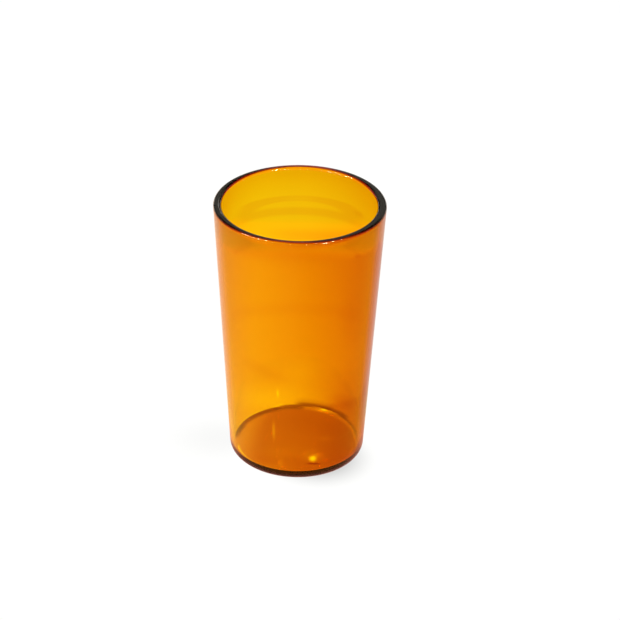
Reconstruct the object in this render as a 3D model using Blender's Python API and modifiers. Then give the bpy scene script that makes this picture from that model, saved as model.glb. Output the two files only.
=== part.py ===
"""Transparent amber drinking tumbler, moulded in one piece.

Metres, +Z up. The origin is the centre of the foot, on the table the tumbler stands on.
"""
import math

import bpy

# Driving dimensions.
HEIGHT = 0.1288            # table to the top of the rim
TOP_RADIUS = 0.0391        # outer wall where it would meet the rim plane with a sharp corner
FOOT_RADIUS = 0.0313       # outer wall where it would meet the table with a sharp corner
RIM_WALL = 0.0040          # wall thickness at the rim
LIP_HEIGHT = 0.0150        # the wall thickens inwards over this height below the rim
LIP_WALL = 0.0030          # wall thickness where the lip begins
FOOT_WALL = 0.0023         # wall thickness at the level of the cavity's floor
FLOOR_THICKNESS = 0.0043   # solid floor, at the cavity's edge

# Rounded corners.
RIM_OUTER_ROUND = 0.0012
RIM_INNER_ROUND = 0.0015
LIP_BLEND = 0.10           # the slight bend where the lip begins
FOOT_ROUND = 0.0042
FLOOR_FILLET = 0.0014

# The underside is pushed up a little, so the tumbler stands on a ring.
REST_RING_INNER_RADIUS = 0.0225
UNDERSIDE_RISE = 0.0004

# Fineness of the turned shape.
TURN_STEPS = 80
MERGE_DISTANCE = 0.00001


def outer_radius(z):
    """Radius of the straight outer wall at height z."""
    return FOOT_RADIUS + (TOP_RADIUS - FOOT_RADIUS) * z / HEIGHT


def rounded_corner(before, corner, after, radius, steps):
    """Points of the arc that rounds one corner of an outline, tangent to both of its sides."""
    in_x, in_z = before[0] - corner[0], before[1] - corner[1]
    out_x, out_z = after[0] - corner[0], after[1] - corner[1]
    in_length, out_length = math.hypot(in_x, in_z), math.hypot(out_x, out_z)
    in_x, in_z = in_x / in_length, in_z / in_length
    out_x, out_z = out_x / out_length, out_z / out_length
    half_angle = math.acos(in_x * out_x + in_z * out_z) / 2
    mid_x, mid_z = in_x + out_x, in_z + out_z
    mid_length = math.hypot(mid_x, mid_z)
    reach = radius / math.sin(half_angle)
    centre_x = corner[0] + mid_x / mid_length * reach
    centre_z = corner[1] + mid_z / mid_length * reach
    tangent = radius / math.tan(half_angle)
    start = math.atan2(corner[1] + in_z * tangent - centre_z, corner[0] + in_x * tangent - centre_x)
    end = math.atan2(corner[1] + out_z * tangent - centre_z, corner[0] + out_x * tangent - centre_x)
    sweep = (end - start + math.pi) % (2 * math.pi) - math.pi
    angles = [start + sweep * step / steps for step in range(steps + 1)]
    return [(centre_x + radius * math.cos(a), centre_z + radius * math.sin(a)) for a in angles]


def underside_arc(steps):
    """Shallow dome of the underside, from the ring it stands on to the axis."""
    half_width = REST_RING_INNER_RADIUS
    radius = (half_width ** 2 + UNDERSIDE_RISE ** 2) / (2 * UNDERSIDE_RISE)
    centre_z = UNDERSIDE_RISE - radius
    radii = [half_width * (1 - step / steps) for step in range(steps + 1)]
    return [(r, centre_z + math.sqrt(radius ** 2 - r ** 2)) for r in radii]


def tumbler_profile():
    """Half section: cavity floor, up the inner wall, over the rim, down the outer wall, underside."""
    floor_centre = (0.0, FLOOR_THICKNESS)
    floor_edge = (outer_radius(FLOOR_THICKNESS) - FOOT_WALL, FLOOR_THICKNESS)
    lip_z = HEIGHT - LIP_HEIGHT
    lip_start = (outer_radius(lip_z) - LIP_WALL, lip_z)
    rim_inside = (TOP_RADIUS - RIM_WALL, HEIGHT)
    rim_outside = (TOP_RADIUS, HEIGHT)
    foot = (FOOT_RADIUS, 0.0)
    ring_inside = (REST_RING_INNER_RADIUS, 0.0)

    points = [floor_centre]
    points += rounded_corner(floor_centre, floor_edge, lip_start, FLOOR_FILLET, 5)
    points += rounded_corner(floor_edge, lip_start, rim_inside, LIP_BLEND, 3)
    points += rounded_corner(lip_start, rim_inside, rim_outside, RIM_INNER_ROUND, 5)
    points += rounded_corner(rim_inside, rim_outside, foot, RIM_OUTER_ROUND, 5)
    points += rounded_corner(rim_outside, foot, ring_inside, FOOT_ROUND, 6)
    points += underside_arc(3)
    return points


def amber_plastic():
    """Clear amber moulding plastic, smooth and glossy."""
    material = bpy.data.materials.new("amber_plastic")
    material.use_nodes = True
    surface = material.node_tree.nodes["Principled BSDF"]
    surface.inputs["Base Color"].default_value = (0.86, 0.36, 0.01, 1.0)
    surface.inputs["Metallic"].default_value = 0.0
    surface.inputs["Roughness"].default_value = 0.06
    surface.inputs["IOR"].default_value = 1.5
    surface.inputs["Transmission Weight"].default_value = 0.9
    return material


def turned_object(name, profile, collection):
    """Object whose outline, in the XZ plane, is turned once about the Z axis."""
    mesh = bpy.data.meshes.new(name)
    vertices = [(x, 0.0, z) for x, z in profile]
    edges = [(index, index + 1) for index in range(len(profile) - 1)]
    mesh.from_pydata(vertices, edges, [])
    turned = bpy.data.objects.new(name, mesh)
    collection.objects.link(turned)

    screw = turned.modifiers.new("turn", "SCREW")
    screw.axis = "Z"
    screw.angle = 2 * math.pi
    screw.steps = TURN_STEPS
    screw.render_steps = TURN_STEPS
    screw.use_merge_vertices = True
    screw.merge_threshold = MERGE_DISTANCE
    screw.use_smooth_shade = True
    return turned


def make_tumbler_body(collection):
    """Wall, rim and floor: the whole tumbler, one moulding."""
    body = turned_object("tumbler_body", tumbler_profile(), collection)
    body.data.materials.append(amber_plastic())
    return body


def clear_scene():
    for old in list(bpy.data.objects):
        bpy.data.objects.remove(old, do_unlink=True)


def main():
    clear_scene()
    collection = bpy.data.collections.new("amber_tumbler")
    bpy.context.scene.collection.children.link(collection)
    make_tumbler_body(collection)


main()
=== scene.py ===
"""Looks of a clear amber tumbler: the body turned finely, tinted clear plastic and a pale studio.

The body is one closed surface of revolution. Its height and its widest radius are read from the frame.
"""
import math

import bpy
from mathutils import Matrix, Vector


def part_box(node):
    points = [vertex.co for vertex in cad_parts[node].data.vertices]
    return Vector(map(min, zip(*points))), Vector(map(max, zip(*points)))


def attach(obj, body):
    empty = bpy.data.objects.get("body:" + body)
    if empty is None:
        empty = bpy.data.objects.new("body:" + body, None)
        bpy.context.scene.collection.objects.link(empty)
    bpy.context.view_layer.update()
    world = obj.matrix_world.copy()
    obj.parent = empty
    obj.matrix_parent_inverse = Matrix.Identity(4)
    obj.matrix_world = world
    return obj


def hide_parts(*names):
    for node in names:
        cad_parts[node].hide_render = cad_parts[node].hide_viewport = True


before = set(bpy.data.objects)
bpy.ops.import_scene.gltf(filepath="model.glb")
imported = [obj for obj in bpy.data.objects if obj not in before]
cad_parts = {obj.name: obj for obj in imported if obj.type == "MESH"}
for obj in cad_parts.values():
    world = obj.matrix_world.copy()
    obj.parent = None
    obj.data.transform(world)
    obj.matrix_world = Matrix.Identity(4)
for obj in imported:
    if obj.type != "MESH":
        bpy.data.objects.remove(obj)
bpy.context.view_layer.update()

# Sizes of the body, in metres.
BODY = "tumbler_body"
body_low, body_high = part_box(BODY)
HEIGHT = body_high.z - body_low.z
WIDEST_RADIUS = (body_high.x - body_low.x) / 2
RIM_CORNER_OVERHANG = 0.0000771    # how far the sharp rim corner would stand outside the rounded rim
TOP_RADIUS = WIDEST_RADIUS + RIM_CORNER_OVERHANG
FOOT_RADIUS = 0.0313
RIM_WALL = 0.0040
LIP_HEIGHT = 0.0150
LIP_WALL = 0.0030
FOOT_WALL = 0.0023
FLOOR_LEVEL = 0.0043
REST_RING_INNER_RADIUS = 0.0225
UNDERSIDE_RISE = 0.0004

# Rounded corners.
RIM_OUTER_ROUND = 0.0012
RIM_INNER_ROUND = 0.0015
LIP_BLEND = 0.10
FOOT_ROUND = 0.0042
FLOOR_FILLET = 0.0008

CAVITY_OFFSET = -0.0002            # a fault of the moulding: the cavity sits off centre, towards -X

# Fineness of the turned shape.
TURN_STEPS = 320
AXIS_TOLERANCE = 1e-7              # a point of the outline nearer to the axis lies on it

# Clear amber plastic: how much light it takes away, per metre, in red, green and blue.
ABSORPTION = (65.0, 205.0, 1300.0)
ABSORPTION_DENSITY = 1350.0        # a little above the largest of them
IOR = 1.5
SPECULAR_TINT = (1.0, 0.6, 0.15, 1.0)

# Faint texture of the plastic. Each noise: fineness along X, Y and Z, and detail.
CLOUD = ((30.0, 30.0, 12.0), 3.0)              # uneven tint and haze
FLOW = ((55.0, 55.0, 7.0), 2.0)                # waves left by the flow of the plastic
GRAIN = ((900.0, 900.0, 900.0), 2.0)           # finest relief
RUB = ((2500.0, 2500.0, 40.0), 1.0)            # upright rub marks
WEAR = ((14.0, 14.0, 14.0), 2.0)               # where the rub marks are
RUB_RANGE, WEAR_RANGE = (0.66, 0.74), (0.48, 0.66)   # from none to full, in the noise
SPECK_SCALE, SPECK_RANGE = 34.0, (0.008, 0.014)
CLEAN_COLOUR, CLOUD_COLOUR = (1.0, 1.0, 1.0, 1.0), (0.985, 0.955, 0.90, 1.0)
SPECK_COLOUR = (0.30, 0.18, 0.10, 1.0)
CLOUD_ROUGHNESS, RUB_ROUGHNESS = 0.008, 0.10
FLOW_RELIEF, GRAIN_RELIEF, RUB_RELIEF = 0.00004, 0.0000002, 0.0000015   # metres


def outer_radius(z):
    """Radius of the straight outer wall at height z."""
    return FOOT_RADIUS + (TOP_RADIUS - FOOT_RADIUS) * z / HEIGHT


def rounded_corner(before, corner, after, radius, steps):
    """Points of the arc that rounds one corner of an outline, tangent to both of its sides."""
    in_x, in_z = before[0] - corner[0], before[1] - corner[1]
    out_x, out_z = after[0] - corner[0], after[1] - corner[1]
    in_length, out_length = math.hypot(in_x, in_z), math.hypot(out_x, out_z)
    in_x, in_z = in_x / in_length, in_z / in_length
    out_x, out_z = out_x / out_length, out_z / out_length
    half_angle = math.acos(in_x * out_x + in_z * out_z) / 2
    mid_x, mid_z = in_x + out_x, in_z + out_z
    mid_length = math.hypot(mid_x, mid_z)
    reach = radius / math.sin(half_angle)
    centre_x = corner[0] + mid_x / mid_length * reach
    centre_z = corner[1] + mid_z / mid_length * reach
    tangent = radius / math.tan(half_angle)
    start = math.atan2(corner[1] + in_z * tangent - centre_z, corner[0] + in_x * tangent - centre_x)
    end = math.atan2(corner[1] + out_z * tangent - centre_z, corner[0] + out_x * tangent - centre_x)
    sweep = (end - start + math.pi) % (2 * math.pi) - math.pi
    angles = [start + sweep * step / steps for step in range(steps + 1)]
    return [(centre_x + radius * math.cos(a), centre_z + radius * math.sin(a)) for a in angles]


def underside_arc(steps):
    """Shallow dome of the underside, from the ring it stands on to the axis."""
    half_width = REST_RING_INNER_RADIUS
    radius = (half_width ** 2 + UNDERSIDE_RISE ** 2) / (2 * UNDERSIDE_RISE)
    centre_z = UNDERSIDE_RISE - radius
    radii = [half_width * (1 - step / steps) for step in range(steps + 1)]
    return [(r, centre_z + math.sqrt(radius ** 2 - r ** 2)) for r in radii]


def straight(start, end, steps):
    """Points between two ends of a straight run, without the ends."""
    shares = [step / steps for step in range(1, steps)]
    return [(start[0] + (end[0] - start[0]) * s, start[1] + (end[1] - start[1]) * s) for s in shares]


def profile():
    """Half section: cavity floor, up the inner wall, over the rim, down the outer wall, underside."""
    floor_centre = (0.0, FLOOR_LEVEL)
    floor_edge = (outer_radius(FLOOR_LEVEL) - FOOT_WALL, FLOOR_LEVEL)
    lip_z = HEIGHT - LIP_HEIGHT
    lip_start = (outer_radius(lip_z) - LIP_WALL, lip_z)
    rim_inside = (TOP_RADIUS - RIM_WALL, HEIGHT)
    rim_outside = (TOP_RADIUS, HEIGHT)
    foot = (FOOT_RADIUS, 0.0)
    ring_inside = (REST_RING_INNER_RADIUS, 0.0)
    # Steps of the straight run that leads to each rounded stretch, and its points.
    stretches = [
        (10, rounded_corner(floor_centre, floor_edge, lip_start, FLOOR_FILLET, 12)),
        (50, rounded_corner(floor_edge, lip_start, rim_inside, LIP_BLEND, 16)),
        (8, rounded_corner(lip_start, rim_inside, rim_outside, RIM_INNER_ROUND, 12)),
        (2, rounded_corner(rim_inside, rim_outside, foot, RIM_OUTER_ROUND, 12)),
        (60, rounded_corner(rim_outside, foot, ring_inside, FOOT_ROUND, 14)),
        (2, underside_arc(12)),
    ]
    points = [floor_centre]
    for run_steps, stretch in stretches:
        points += straight(points[-1], stretch[0], run_steps) + stretch
    return points


def turned_mesh(name, outline, steps):
    """Closed mesh of an outline turned once about Z, from the axis round to the axis again."""
    rim_top = max(range(len(outline)), key=lambda index: outline[index][1])
    vertices, faces, rings = [], [], []
    for index, (radius, z) in enumerate(outline):
        shift = CAVITY_OFFSET if index < rim_top else 0.0
        if radius < AXIS_TOLERANCE:
            rings.append([len(vertices)])
            vertices.append((shift, 0.0, z))
            continue
        rings.append(list(range(len(vertices), len(vertices) + steps)))
        for step in range(steps):
            turn = 2 * math.pi * step / steps
            vertices.append((radius * math.cos(turn) + shift, radius * math.sin(turn), z))
    for upper, lower in zip(rings, rings[1:]):
        for step in range(steps):
            after = (step + 1) % steps
            if len(upper) == 1:
                faces.append((upper[0], lower[step], lower[after]))
            elif len(lower) == 1:
                faces.append((upper[step], lower[0], upper[after]))
            else:
                faces.append((upper[step], lower[step], lower[after], upper[after]))
    mesh = bpy.data.meshes.new(name)
    mesh.from_pydata(vertices, [], faces)
    mesh.shade_smooth()
    return mesh


class NodeSheet:
    """Short names for the few kinds of shader node the materials need."""

    def __init__(self, tree):
        self.tree = tree

    def feed(self, socket, value):
        """Give a socket a value: another node's output or a constant."""
        if isinstance(value, bpy.types.NodeSocket):
            self.tree.links.new(value, socket)
        else:
            socket.default_value = value

    def math(self, operation, *values):
        node = self.tree.nodes.new("ShaderNodeMath")
        node.operation = operation
        for socket, value in zip(node.inputs, values):
            self.feed(socket, value)
        return node.outputs[0]

    def smooth_range(self, value, start, end, low, high):
        """Smooth step of a value from low at start to high at end."""
        node = self.tree.nodes.new("ShaderNodeMapRange")
        node.interpolation_type = "SMOOTHSTEP"
        for socket, given in zip(node.inputs, (value, start, end, low, high)):
            self.feed(socket, given)
        return node.outputs[0]

    def noise(self, position, scales, detail):
        """Noise with its own fineness along each axis, between 0 and 1."""
        mapping = self.tree.nodes.new("ShaderNodeMapping")
        mapping.inputs["Scale"].default_value = scales
        self.tree.links.new(position, mapping.inputs["Vector"])
        node = self.tree.nodes.new("ShaderNodeTexNoise")
        node.inputs["Scale"].default_value = 1.0
        node.inputs["Detail"].default_value = detail
        self.tree.links.new(mapping.outputs[0], node.inputs["Vector"])
        return node.outputs["Fac"]

    def ramp(self, value, start, end):
        """Straight ramp of a value from 0 at start to 1 at end."""
        node = self.tree.nodes.new("ShaderNodeMapRange")
        for socket, given in zip(node.inputs, (value, start, end)):
            self.feed(socket, given)
        return node.outputs[0]

    def placed(self, position, centre, turn, half_sizes):
        """Position seen from a centre, turned back and measured in half sizes."""
        node = self.tree.nodes.new("ShaderNodeMapping")
        node.vector_type = "TEXTURE"
        node.inputs["Location"].default_value = (*centre, 0.0)
        node.inputs["Rotation"].default_value = (0.0, 0.0, turn)
        node.inputs["Scale"].default_value = (*half_sizes, 1.0)
        self.tree.links.new(position, node.inputs["Vector"])
        return node.outputs[0]

    def length(self, vector):
        node = self.tree.nodes.new("ShaderNodeVectorMath")
        node.operation = "LENGTH"
        self.tree.links.new(vector, node.inputs[0])
        return node.outputs["Value"]

    def blend(self, share, first, second, kind="FLOAT"):
        """Number or colour between the first, where share is 0, and the second, where it is 1."""
        node = self.tree.nodes.new("ShaderNodeMix")
        node.data_type = kind
        for name, given in (("Factor", share), ("A", first), ("B", second)):
            self.feed(node.inputs[name], given)
        return node.outputs["Result"]

    def along(self, axis, vector):
        """One coordinate of a vector."""
        node = self.tree.nodes.new("ShaderNodeSeparateXYZ")
        self.tree.links.new(vector, node.inputs[0])
        return node.outputs[axis]


def amber_plastic():
    """Clear tinted plastic: the tint is in its volume, faint moulding and wear on its surface."""
    material = bpy.data.materials.new("amber_plastic")
    material.use_nodes = True
    tree = material.node_tree
    sheet = NodeSheet(tree)
    surface = tree.nodes["Principled BSDF"]
    output = tree.nodes["Material Output"]
    surface.inputs["IOR"].default_value = IOR
    surface.inputs["Transmission Weight"].default_value = 1.0
    surface.inputs["Specular Tint"].default_value = SPECULAR_TINT

    place = tree.nodes.new("ShaderNodeTexCoord").outputs["Object"]
    cloud = sheet.noise(place, *CLOUD)
    flow = sheet.noise(place, *FLOW)
    grain = sheet.noise(place, *GRAIN)
    rub = sheet.smooth_range(sheet.noise(place, *RUB), *RUB_RANGE, 0.0, 1.0)
    worn = sheet.smooth_range(sheet.noise(place, *WEAR), *WEAR_RANGE, 0.0, 1.0)
    rub = sheet.math("MULTIPLY", rub, worn)
    speck_cells = tree.nodes.new("ShaderNodeTexVoronoi")
    tree.links.new(place, speck_cells.inputs["Vector"])
    speck_cells.inputs["Scale"].default_value = SPECK_SCALE
    specks = sheet.smooth_range(speck_cells.outputs["Distance"], *SPECK_RANGE, 1.0, 0.0)

    colour = sheet.blend(cloud, CLEAN_COLOUR, CLOUD_COLOUR, "RGBA")
    colour = sheet.blend(specks, colour, SPECK_COLOUR, "RGBA")
    sheet.feed(surface.inputs["Base Color"], colour)

    haze = sheet.math("MULTIPLY", cloud, CLOUD_ROUGHNESS)
    rough = sheet.math("ADD", haze, sheet.math("MULTIPLY", rub, RUB_ROUGHNESS))
    sheet.feed(surface.inputs["Roughness"], rough)

    waves = sheet.math("MULTIPLY", flow, FLOW_RELIEF)
    relief = sheet.math("ADD", waves, sheet.math("MULTIPLY", grain, GRAIN_RELIEF))
    relief = sheet.math("SUBTRACT", relief, sheet.math("MULTIPLY", rub, RUB_RELIEF))
    bump = tree.nodes.new("ShaderNodeBump")
    bump.inputs["Distance"].default_value = 1.0
    sheet.feed(bump.inputs["Height"], relief)
    tree.links.new(bump.outputs["Normal"], surface.inputs["Normal"])

    absorption = tree.nodes.new("ShaderNodeVolumeAbsorption")
    passed = [1 - loss / ABSORPTION_DENSITY for loss in ABSORPTION]
    absorption.inputs["Color"].default_value = (*passed, 1.0)
    absorption.inputs["Density"].default_value = ABSORPTION_DENSITY
    tree.links.new(absorption.outputs["Volume"], output.inputs["Volume"])
    return material


def add_object(name, data):
    item = bpy.data.objects.new(name, data)
    bpy.context.scene.collection.objects.link(item)
    return item


def make_tumbler():
    mesh = turned_mesh("tumbler", profile(), TURN_STEPS)
    mesh.materials.append(amber_plastic())
    tumbler = add_object("tumbler", mesh)
    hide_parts(BODY)
    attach(tumbler, "root")


# Studio. Everything here is stage: it is not part of the object.
FLOOR_HALF_WIDTH = 6.0
FLOOR_GAP = 0.0001
PALE = (1.02, 1.02, 1.01, 1.0)
# Painted shadow on the glowing floor: a contact shadow close to the foot, front right, and a faint one
# to the left.
PAINTED_FLOOR_SHADOW = [
    # centre x, centre y, half width, half depth, turn in degrees, soft share of the edge, darkness
    (0.0084, -0.0094, 0.0297, 0.0330, 53, 1.0, 0.68),   # close to the foot, front right
    (-0.0360, 0.0040, 0.0360, 0.0260, 0, 1.0, 0.07),    # faint, to the left
]
ROOM_COLOUR = (0.93, 0.98, 1.0, 1.0)
DIM, BAND = 0.05, 0.42               # room light, and the paler band of it above the horizon
BAND_FROM, BAND_TO = 0.36, 0.56      # sine of the band's lower and upper edge
BAND_SOFTNESS = 0.04
BACKDROP = 1.12                      # pale backdrop, all round behind the floor
BACKDROP_FADE = (0.08, 0.20)         # it ends between these sines of elevation
LAMPS = [
    # direction from the tumbler, width and height of the lamp, radiance
    ((-0.63, -0.22, 0.74), 0.85, 0.15, 90.0),
    ((0.46, -0.35, 0.81), 0.50, 0.15, 70.0),
    ((0.0, -0.66, 0.75), 1.60, 0.12, 14.0),
]
LAMP_DISTANCE = 1.5
LAMP_COLOUR = (0.9, 1.2, 2.2)
MAX_BOUNCES = 32
GLOSSY_BOUNCES = 16

# Camera. Distance and height are in widest radii of the body, the angles in degrees.
CAMERA_DISTANCE, CAMERA_HEIGHT = 24.56, 15.98
CAMERA_PAN, CAMERA_TILT, CAMERA_ROLL = 0.317, 29.858, 1.0
SENSOR_WIDTH, LENS = 36.0, 139.35484   # millimetres
CAMERA_REACH = 50                      # metres

# Painted amber light and shade on the floor, a glow seen only through the plastic. Its tone is given
# as a depth d, which dims green to exp(-d) and, unless said otherwise, red to exp(-d * RED_SHARE).
BRIGHTEST = (1.30, 1.04)             # red and green at depth 0
BLUE = 0.15
RED_SHARE = 0.34

# Painted reflection: the floor's colours shown only to rays mirrored once by the tumbler's outer
# surface.
# Each pair: left and right.
FIRST_BOUNCE = 1.5                   # a ray's depth is below this until it has bounced twice
MIRRORED_RED, MIRRORED_GREEN, MIRRORED_BLUE = (1.1, 0.82), (0.82, 0.68), (0.20, 0.05)
EDGE_BLUE = (0.34, 0.60)             # blue that grazes the edges, near the foot and higher up
EDGE_BLUE_RANGE = (0.035, 0.090)
GRAZING = (-0.40, -0.80)             # from and to these, where the light comes from along Y
# painted contact shade in the reflection, close to the foot
MIRRORED_CONTACT = (1.0, 0.45)       # red and green close to the foot, browner
CONTACT_BLUE = 0.38                  # blue under the foot's rounding
CONTACT_BLUE_EDGE = (0.033, 0.040)
SIDES = (-0.05, 0.05)                # from left to right
CONTACT = (0.030, 0.055)             # from and to these distances from the axis

# Broad changes of the amber light.
NEAR_GAIN = 1.10                     # the near part of the floor is this much brighter
SIDE = (-0.028, 0.055, 0.78)         # depth grows from the left to the right: start, end, depth
FAR = (0.205, 0.225)                 # where the far part of the floor begins
FAR_SIDE_SHARE = 0.22                # share of the sideways growth left there
FAR_RED = 0.87                       # and its red, against the near part
FAR_RED_EDGE = (0.216, 0.236)        # where the red changes
FAR_END = (0.296, 0.325, 0.09)       # the farthest part is a little darker: start, end, depth
# Painted light and shade on the floor behind the foot: cast shadows, a painted glint and bright
# streaks.
PAINTED_LIGHT_PATCHES = [
    # centre x, centre y, half width, half depth, turn in degrees, soft share of the edge, depth
    (0.036, 0.025, 0.046, 0.0195, 10, 0.3, 0.50),       # dark side behind the foot, right
    (0.038, 0.006, 0.012, 0.018, 0, 1.0, 0.30),         # going on round the foot
    (0.040, 0.045, 0.030, 0.046, 0, 1.0, 0.40),         # and its soft upper part
    (0.028, 0.040, 0.016, 0.010, -25, 1.0, 0.38),       # dark patch above the glint
    (0.060, 0.055, 0.010, 0.035, 0, 0.8, 0.45),         # darkest at the far right
    (0.042, 0.120, 0.020, 0.045, 0, 1.0, 0.13),         # a little darker above it
    (-0.012, 0.042, 0.040, 0.022, 0, 1.0, -0.26),       # bright side behind the foot, left
    (-0.040, 0.012, 0.011, 0.028, 0, 1.0, -0.32),       # brightest at the far left
    (0.003, 0.068, 0.017, 0.028, -12, 1.0, -0.14),      # bright streak rising from it
    (-0.020, 0.070, 0.027, 0.009, -34, 1.0, 0.12),      # darker streak left of it
    (0.005, 0.215, 0.048, 0.010, 0, 1.0, 0.12),         # faint band just below the rim
    (-0.0100, 0.0480, 0.0010, 0.0060, 3, 1.0, -0.55),   # upper end of the upright streak
    (-0.0080, 0.0370, 0.0025, 0.0020, 0, 1.0, -0.40),   # where it meets the foot
    (-0.0100, 0.0340, 0.0040, 0.0022, 15, 1.0, -0.50),  # and touches the dark line there
    (0.0138, 0.0296, 0.0034, 0.0030, 0, 0.9, -1.50),    # glint at the foot, right
    (0.0140, 0.0276, 0.0095, 0.0030, -10, 0.9, -0.75),  # and its dimmer tail
    (-0.0510, 0.2185, 0.0030, 0.0060, 0, 1.0, 0.45),    # darker corner under the rim, left
    (0.0500, 0.2150, 0.0070, 0.0090, 0, 1.0, 0.55),     # darker corner under the rim, right
    (0.0480, 0.2440, 0.0110, 0.0160, 0, 1.0, 0.18),     # fan at the end of the rim's shadow, right
    (0.0000, 0.2660, 0.0180, 0.0110, 0, 1.0, -0.07),    # weaker middle of the rim's shadow
]
UNDER_FOOT_RADIUS = 0.0285
UNDER_FOOT_SOFTNESS = 0.0006
# Painted light and shade under the foot: the tumbler's cast shadow, a painted bright spot with its
# halo, and streaks.
PAINTED_LIGHT_UNDER_FOOT = [
    # the same, only under the foot
    (0.0, 0.0, 0.0600, 0.0600, 0, 0.04, 0.08),          # all of it
    (0.0190, 0.0, 0.0440, 0.0800, -6, 0.24, 0.62),      # all but its left strip
    (0.0320, -0.0020, 0.0280, 0.0400, 0, 0.90, 0.65),   # darker to the right
    (0.0100, 0.0150, 0.0250, 0.0160, 0, 1.0, 0.10),     # and a little at the back
    (-0.006, -0.010, 0.020, 0.010, 10, 1.0, -0.22),     # lighter middle
    (-0.0120, -0.0230, 0.0220, 0.0090, 0, 1.0, -0.35),  # lighter front, left
    (0.0076, -0.0150, 0.0028, 0.0040, 0, 0.80, -1.80),  # bright spot
    (0.0094, -0.0120, 0.0026, 0.0030, 0, 1.00, -0.55),  # its upper right
    (0.0078, -0.0128, 0.0078, 0.0085, 0, 1.00, -0.50),  # its halo
    (0.0080, -0.0192, 0.0042, 0.0012, 0, 0.7, 1.60),    # dark line closing it
    (0.0260, -0.0200, 0.0180, 0.0140, 0, 1.00, 0.25),   # darker front right
    (0.0140, 0.0030, 0.0060, 0.0036, 8, 1.0, -0.30),    # weak ghost of the bright spot
    (-0.0109, 0.0095, 0.0013, 0.0130, 2, 0.9, -0.85),   # upright streak
    (-0.0070, -0.0190, 0.0015, 0.0070, 0, 1.0, -0.40),  # its faint lower end
]
# Painted lines of shade and light round the foot, a painted contact shadow among them.
PAINTED_SHADE_AND_LIGHT_RINGS = [
    # radius, half thickness, direction and half spread in degrees, depth, depth for red
    (0.0302, 0.0030, 139, 31, 2.00, 1.10),     # dark line behind the foot, left
    (0.0300, 0.0034, 165, 10, 1.60, 0.95),     # thicker at its left end
    (0.0334, 0.0016, 150, 30, -0.50, -0.17),   # bright line outside it
    (0.0304, 0.0030, 97, 12, 1.60, 0.90),      # going on to the middle
    (0.0336, 0.0030, 89, 12, 1.70, 0.95),      # and thicker outwards there
    (0.0374, 0.0036, 66, 22, 1.45, 0.85),      # dark line behind the foot, right of the middle
    (0.0385, 0.0070, 75, 13, 0.50, 0.28),      # its soft outer side
    (0.0346, 0.0036, 16, 34, 1.50, 0.85),      # dark line behind the foot, right
    (0.0316, 0.0026, 0, 16, 1.00, 0.60),       # and on round its side
    (0.0320, 0.0050, -90, 76, 1.10, 0.40),     # contact shadow in front
    (0.0276, 0.0013, -138, 32, -1.10, -0.35),  # bright line inside it, left
    (0.0330, 0.0014, 178, 12, 0.45, 0.27),     # thin dark line at the far left
    (0.0272, 0.0012, -42, 30, -0.50, -0.17),   # bright line inside it, right
    (0.1340, 0.0120, 90, 180, 0.09, 0.03),     # faint shadow behind the tumbler
]
SPREAD_FADE = 5.0                     # degrees to both sides of a ring's end over which it fades
WHOLE_RING = 180                      # half spread of a ring without ends

# Rim's painted shadow, a crescent with a painted lit lens in it. Each disc: centre y and radius.
SHADOW_OUTER, SHADOW_INNER = (0.174, 0.100), (0.168, 0.070)
LENS_OUTER, LENS_INNER = (0.222, 0.036), (0.165, 0.082)
SHADOW_SIDES = (0.036, 0.056)         # it fades out sideways between these
SHADOW_DEPTH = 0.16
SOFT_EDGE = 0.0025


def stamped(sheet, position, depth, stamps):
    """The depth with soft-edged elliptical patches added to it."""
    for centre_x, centre_y, half_x, half_y, turn, soft, amount in stamps:
        place = sheet.placed(position, (centre_x, centre_y), math.radians(turn), (half_x, half_y))
        stamp = sheet.smooth_range(sheet.length(place), 1.0 - soft, 1.0, amount, 0.0)
        depth = sheet.math("ADD", depth, stamp)
    return depth


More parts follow.
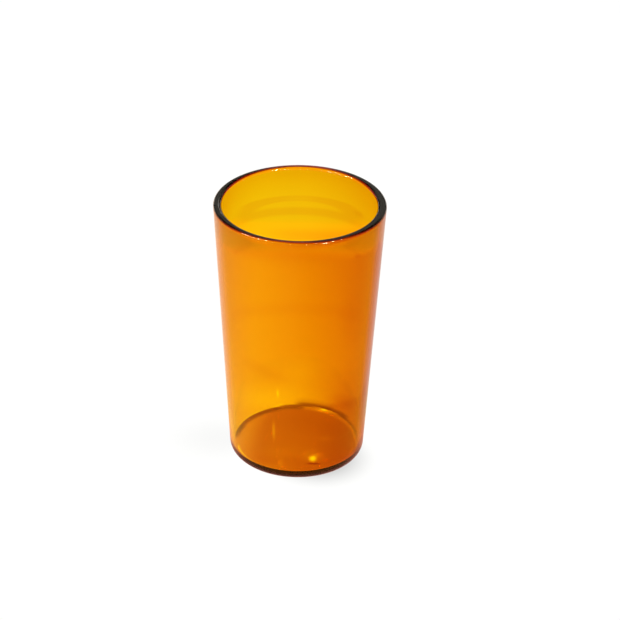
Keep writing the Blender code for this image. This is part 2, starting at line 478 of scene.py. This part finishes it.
def painted_amber_depth(sheet, position):
    """Depth of the painted amber light and shade at every place of the floor: what it takes from green
    and from red.
    """
    x, y = sheet.along("X", position), sheet.along("Y", position)

    def inside(disc):
        centre_y, radius = disc
        away = sheet.length(sheet.placed(position, (0.0, centre_y), 0.0, (1.0, 1.0)))
        return sheet.smooth_range(away, radius - SOFT_EDGE, radius + SOFT_EDGE, 1.0, 0.0)

    def crescent(outer, inner):
        return sheet.math("MULTIPLY", inside(outer), sheet.math("SUBTRACT", 1.0, inside(inner)))

    start, end, amount = SIDE
    side = sheet.math("MULTIPLY", sheet.ramp(x, start, end), amount)
    depth = sheet.math("MULTIPLY", side, sheet.smooth_range(y, *FAR, 1.0, FAR_SIDE_SHARE))
    far_start, far_end, far_amount = FAR_END
    depth = sheet.math("ADD", depth, sheet.smooth_range(y, far_start, far_end, 0.0, far_amount))
    away = sheet.length(position)
    edge = (UNDER_FOOT_RADIUS - UNDER_FOOT_SOFTNESS, UNDER_FOOT_RADIUS + UNDER_FOOT_SOFTNESS)
    foot = sheet.smooth_range(away, *edge, 1.0, 0.0)
    behind = stamped(sheet, position, depth, PAINTED_LIGHT_PATCHES)
    depth = sheet.blend(foot, behind, stamped(sheet, position, side, PAINTED_LIGHT_UNDER_FOOT))

    red_depth = sheet.math("MULTIPLY", depth, RED_SHARE)
    for radius, half_thickness, facing, spread, amount, red_amount in PAINTED_SHADE_AND_LIGHT_RINGS:
        off = sheet.math("ABSOLUTE", sheet.math("SUBTRACT", away, radius))
        ring = sheet.smooth_range(off, 0.0, half_thickness, 1.0, 0.0)
        if spread < WHOLE_RING:
            turned = sheet.placed(position, (0.0, 0.0), math.radians(facing), (1.0, 1.0))
            ahead = sheet.math("DIVIDE", sheet.along("X", turned), away)
            ends = [math.cos(math.radians(spread + fade)) for fade in (SPREAD_FADE, -SPREAD_FADE)]
            ring = sheet.math("MULTIPLY", ring, sheet.smooth_range(ahead, *ends, 0.0, 1.0))
        depth = sheet.math("ADD", depth, sheet.math("MULTIPLY", ring, amount))
        red_depth = sheet.math("ADD", red_depth, sheet.math("MULTIPLY", ring, red_amount))

    shadow = crescent(SHADOW_OUTER, SHADOW_INNER)
    shadow = sheet.math("SUBTRACT", shadow, crescent(LENS_OUTER, LENS_INNER))
    width = sheet.smooth_range(sheet.math("ABSOLUTE", x), *SHADOW_SIDES, 1.0, 0.0)
    shadow = sheet.math("MULTIPLY", shadow, sheet.math("MULTIPLY", width, SHADOW_DEPTH))
    shadow = sheet.math("MULTIPLY", shadow, sheet.smooth_range(y, *FAR, 0.0, 1.0))
    depth = sheet.math("ADD", depth, shadow)
    return depth, sheet.math("ADD", red_depth, sheet.math("MULTIPLY", shadow, RED_SHARE))


def floor_material():
    """Pale to the camera, with a painted contact shadow; through the plastic it glows with painted
    amber light and shade.
    """
    material = bpy.data.materials.new("pale_floor")
    material.use_nodes = True
    tree = material.node_tree
    tree.nodes.clear()
    sheet = NodeSheet(tree)

    geometry = tree.nodes.new("ShaderNodeNewGeometry")
    position = geometry.outputs["Position"]
    # the painted contact shadow dims the floor's own glow
    shade = stamped(sheet, position, 0.0, PAINTED_FLOOR_SHADOW)
    pale = tree.nodes.new("ShaderNodeEmission")
    pale.inputs["Color"].default_value = PALE
    sheet.feed(pale.inputs["Strength"], sheet.math("SUBTRACT", 1.0, shade))

    depth, red_depth = painted_amber_depth(sheet, position)
    x, y = sheet.along("X", position), sheet.along("Y", position)
    gain = sheet.smooth_range(y, *FAR, NEAR_GAIN, 1.0)
    red_gain = sheet.smooth_range(y, *FAR_RED_EDGE, NEAR_GAIN, FAR_RED)
    seen = tree.nodes.new("ShaderNodeCombineColor")
    for channel, passed, own_gain in ((0, red_depth, red_gain), (1, depth, gain)):
        dimmed = sheet.math("EXPONENT", sheet.math("MULTIPLY", passed, -1.0))
        tone = sheet.math("MULTIPLY", dimmed, BRIGHTEST[channel])
        sheet.feed(seen.inputs[channel], sheet.math("MULTIPLY", tone, own_gain))
    seen.inputs["Blue"].default_value = BLUE

    # painted reflection of the floor, seen only in the tumbler's mirror images
    distance = sheet.length(position)
    painted_reflection = tree.nodes.new("ShaderNodeCombineColor")
    for channel, sides in ((0, MIRRORED_RED), (1, MIRRORED_GREEN)):
        tone = sheet.smooth_range(x, *SIDES, *sides)
        tone = sheet.smooth_range(distance, *CONTACT, MIRRORED_CONTACT[channel], tone)
        sheet.feed(painted_reflection.inputs[channel], tone)
    blue = sheet.smooth_range(x, *SIDES, *MIRRORED_BLUE)
    blue = sheet.smooth_range(distance, *CONTACT_BLUE_EDGE, CONTACT_BLUE, blue)
    incoming = sheet.along("Y", geometry.outputs["Incoming"])
    edge_blue = sheet.smooth_range(distance, *EDGE_BLUE_RANGE, *EDGE_BLUE)
    sheet.feed(painted_reflection.inputs["Blue"], sheet.smooth_range(incoming, *GRAZING, blue, edge_blue))

    path = tree.nodes.new("ShaderNodeLightPath")
    first = sheet.math("LESS_THAN", path.outputs["Ray Depth"], FIRST_BOUNCE)
    mirrored = sheet.math("MULTIPLY", path.outputs["Is Reflection Ray"], first)
    # painted amber light and shade: a glow seen only by rays that have met the plastic
    amber = tree.nodes.new("ShaderNodeEmission")
    sheet.feed(amber.inputs["Color"], sheet.blend(mirrored, seen.outputs[0], painted_reflection.outputs[0], "RGBA"))
    mix = tree.nodes.new("ShaderNodeMixShader")
    tree.links.new(path.outputs["Is Camera Ray"], mix.inputs["Fac"])
    tree.links.new(amber.outputs[0], mix.inputs[1])
    tree.links.new(pale.outputs[0], mix.inputs[2])
    output = tree.nodes.new("ShaderNodeOutputMaterial")
    tree.links.new(mix.outputs[0], output.inputs["Surface"])
    return material


def make_floor():
    mesh = bpy.data.meshes.new("floor")
    s = FLOOR_HALF_WIDTH
    mesh.from_pydata([(-s, -s, 0), (s, -s, 0), (s, s, 0), (-s, s, 0)], [], [(0, 1, 2, 3)])
    mesh.materials.append(floor_material())
    floor = add_object("floor", mesh)
    floor.location.z = -FLOOR_GAP


def make_world():
    world = bpy.data.worlds.new("studio")
    bpy.context.scene.world = world
    world.use_nodes = True
    tree = world.node_tree
    background = tree.nodes["Background"]
    sheet = NodeSheet(tree)
    direction = tree.nodes.new("ShaderNodeTexCoord").outputs["Generated"]
    height = sheet.along("Z", direction)
    starts = (BAND_FROM - BAND_SOFTNESS, BAND_FROM + BAND_SOFTNESS)
    ends = (BAND_TO - BAND_SOFTNESS, BAND_TO + BAND_SOFTNESS)
    above = sheet.smooth_range(height, *starts, 0.0, BAND - DIM)
    below = sheet.smooth_range(height, *ends, 1.0, 0.0)
    light = sheet.math("ADD", sheet.math("MULTIPLY", above, below), DIM)
    light = sheet.math("ADD", light, sheet.smooth_range(height, *BACKDROP_FADE, BACKDROP, 0.0))
    seen_directly = tree.nodes.new("ShaderNodeLightPath").outputs["Is Camera Ray"]
    sheet.feed(background.inputs["Strength"], sheet.blend(seen_directly, light, BACKDROP))
    background.inputs["Color"].default_value = ROOM_COLOUR


def make_lamps():
    for index, (direction, width, height, radiance) in enumerate(LAMPS):
        lamp = bpy.data.lights.new(f"lamp_{index}", "AREA")
        lamp.shape = "RECTANGLE"
        lamp.size, lamp.size_y = width, height
        lamp.color = LAMP_COLOUR
        lamp.energy = radiance * math.pi * width * height
        holder = add_object(f"lamp_{index}", lamp)
        towards = Vector(direction).normalized()
        holder.location = towards * LAMP_DISTANCE
        holder.rotation_euler = (-towards).to_track_quat("-Z", "Y").to_euler()


def make_camera():
    pan, tilt, roll = (math.radians(angle) for angle in (CAMERA_PAN, CAMERA_TILT, CAMERA_ROLL))
    data = bpy.data.cameras.new("camera")
    data.sensor_width = SENSOR_WIDTH
    data.lens = LENS
    data.clip_end = CAMERA_REACH
    camera = add_object("camera", data)
    level = math.cos(tilt)
    forward = Vector((math.sin(pan) * level, math.cos(pan) * level, -math.sin(tilt)))
    right = Vector((math.cos(pan), -math.sin(pan), 0))
    up = right.cross(forward)
    rolled_right = right * math.cos(roll) + up * math.sin(roll)
    rolled_up = up * math.cos(roll) - right * math.sin(roll)
    turn = Matrix((rolled_right, rolled_up, -forward)).transposed().to_4x4()
    place = Vector((0, -CAMERA_DISTANCE, CAMERA_HEIGHT)) * WIDEST_RADIUS
    camera.matrix_world = Matrix.Translation(place) @ turn
    bpy.context.scene.camera = camera


def set_light_paths():
    scene = bpy.context.scene
    scene.view_settings.view_transform = "Standard"
    scene.cycles.max_bounces = MAX_BOUNCES
    scene.cycles.transmission_bounces = MAX_BOUNCES
    scene.cycles.glossy_bounces = GLOSSY_BOUNCES


make_tumbler()
make_floor()
make_world()
make_lamps()
make_camera()
set_light_paths()
